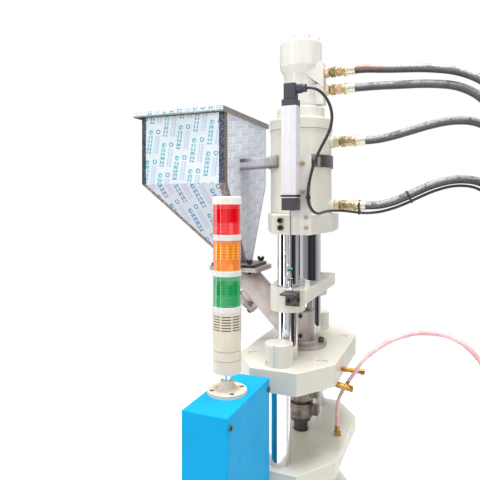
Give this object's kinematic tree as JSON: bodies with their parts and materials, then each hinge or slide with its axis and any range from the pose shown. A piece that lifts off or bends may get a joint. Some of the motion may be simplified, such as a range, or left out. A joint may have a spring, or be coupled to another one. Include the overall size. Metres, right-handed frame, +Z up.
{
  "type": "vertical desktop injection moulding machine",
  "caption": "Vertical injection moulding machine: tie-bar press with hydraulic injection and clamp cylinders, hopper, screw motor, hoses and stack light.",
  "frame": {"origin": "underside of the base plate, on the machine's vertical axis, at the centre of the bench bolt holes", "axes": "+X to the machine's right, where the hoses leave; +Y to the rear; +Z up along the screw"},
  "size_m": [0.8356, 0.66, 1.4755],
  "materials": {
    "cream_paint": "smooth cream enamel",
    "blue_paint": "gloss blue enamel",
    "grey_paint": "satin grey enamel",
    "cylinder_paint": "cream enamel",
    "band_steel": "rolled steel strip",
    "motor_paint": "pale cream enamel",
    "rod_chrome": "hard chrome, ground and polished",
    "machine_steel": "turned and oiled steel",
    "black_steel": "black oxide",
    "zinc_steel": "zinc plated",
    "casting_aluminium": "matt casting",
    "hopper_steel": "stainless sheet under a printed protective film",
    "heater_mica": "heat-tinted sheet",
    "brass": "plain brass",
    "hose_rubber": "black wrapped rubber cover",
    "cable_sheath": "smooth black sheath",
    "pink_tube": "soft pink tube",
    "sensor_aluminium": "silver anodised profile",
    "sensor_plastic": "moulded black plastic",
    "tower_beige": "moulded beige plastic",
    "tower_silver": "silver-white moulded plastic",
    "tower_white": "cream-white moulded plastic",
    "pole_metal": "drawn tube",
    "lens_green": "ribbed translucent lens",
    "lens_amber": "ribbed translucent lens",
    "lens_red": "ribbed translucent lens"
  },
  "bodies": {
    "frame": {"band_clamp": "band_steel", "barrel": "machine_steel", "base_cabinet": "blue_paint", "base_plate": "grey_paint", "cable_fittings": "cable_sheath", "clamp_cylinder": "cylinder_paint", "control_box": "blue_paint", "cylinder_cap": "cylinder_paint", "feed_casting": "casting_aluminium", "fixed_mould_plate": "cream_paint", "guide_rods": "rod_chrome", "head_plate": "cream_paint", "heater_bands": "heater_mica", "hopper": "hopper_steel", "hopper_stay": "band_steel", "hose_fittings": "zinc_steel", "injection_cylinder": "cylinder_paint", "lower_head": "cream_paint", "motor_adapter": "motor_paint", "motor_body": "motor_paint", "motor_bolts": "motor_paint", "motor_end_cover": "motor_paint", "motor_gear_ring": "motor_paint", "nozzle": "machine_steel", "pressure_hose_1": "hose_rubber", "pressure_hose_2": "hose_rubber", "pressure_hose_3": "hose_rubber", "pressure_hose_4": "hose_rubber", "sensor_body": "sensor_aluminium", "sensor_cable": "cable_sheath", "sensor_connector": "cable_sheath", "sensor_end_caps": "sensor_plastic", "sensor_plate": "motor_paint", "socket_screws": "black_steel", "table_plate": "cream_paint", "tie_bar_caps": "cylinder_paint", "tie_bar_nuts": "machine_steel", "tie_bars": "rod_chrome", "tower_base": "tower_beige", "tower_cap": "tower_white", "tower_foot": "tower_beige", "tower_lens_amber": "lens_amber", "tower_lens_green": "lens_green", "tower_lens_red": "lens_red", "tower_pole": "pole_metal", "tower_rings": "tower_silver", "valve_manifold": "grey_paint", "water_hose": "pink_tube", "water_nipples": "brass", "wing_nuts": "black_steel"},
    "injection_unit": {"crosshead": "cream_paint", "piston_rod": "rod_chrome", "sensor_rod": "machine_steel", "sensor_bracket": "black_steel"},
    "screw": {"screw": "machine_steel"},
    "motor_shaft": {"motor_shaft": "machine_steel"},
    "moving_platen": {"moving_plate": "cream_paint", "clamp_ram": "rod_chrome"},
    "gate": {"slide_gate": "machine_steel"},
    "drain_lid": {"drain_cover": "machine_steel"}
  },
  "joints": [
    {"name": "injection_stroke", "type": "slide", "parent": "frame", "child": "injection_unit", "axis": [0, 0, 1], "range_m": [-0.01, 0.105]},
    {"name": "motor_rotation", "type": "hinge", "parent": "frame", "child": "motor_shaft", "pos_m": [0, 0, 1.2], "axis": [0, 0, 1], "continuous": true},
    {"name": "screw_rotation", "type": "hinge", "parent": "injection_unit", "child": "screw", "pos_m": [0, 0, 0.85], "axis": [0, 0, 1], "continuous": true},
    {"name": "clamp_stroke", "type": "slide", "parent": "frame", "child": "moving_platen", "axis": [0, 0, 1], "range_m": [0, 0.09]},
    {"name": "gate_slide", "type": "slide", "parent": "frame", "child": "gate", "axis": [0, -1, 0], "range_m": [0, 0.054]},
    {"name": "drain_cover_swing", "type": "hinge", "parent": "frame", "child": "drain_lid", "pos_m": [-0.1209, 0, 0.8369], "axis": [-0.7071, 0, -0.7071], "range_deg": [0, 110]}
  ],
  "couplings": [
    {"joint": "screw_rotation", "follows": "motor_rotation", "ratio": 1}
  ]
}
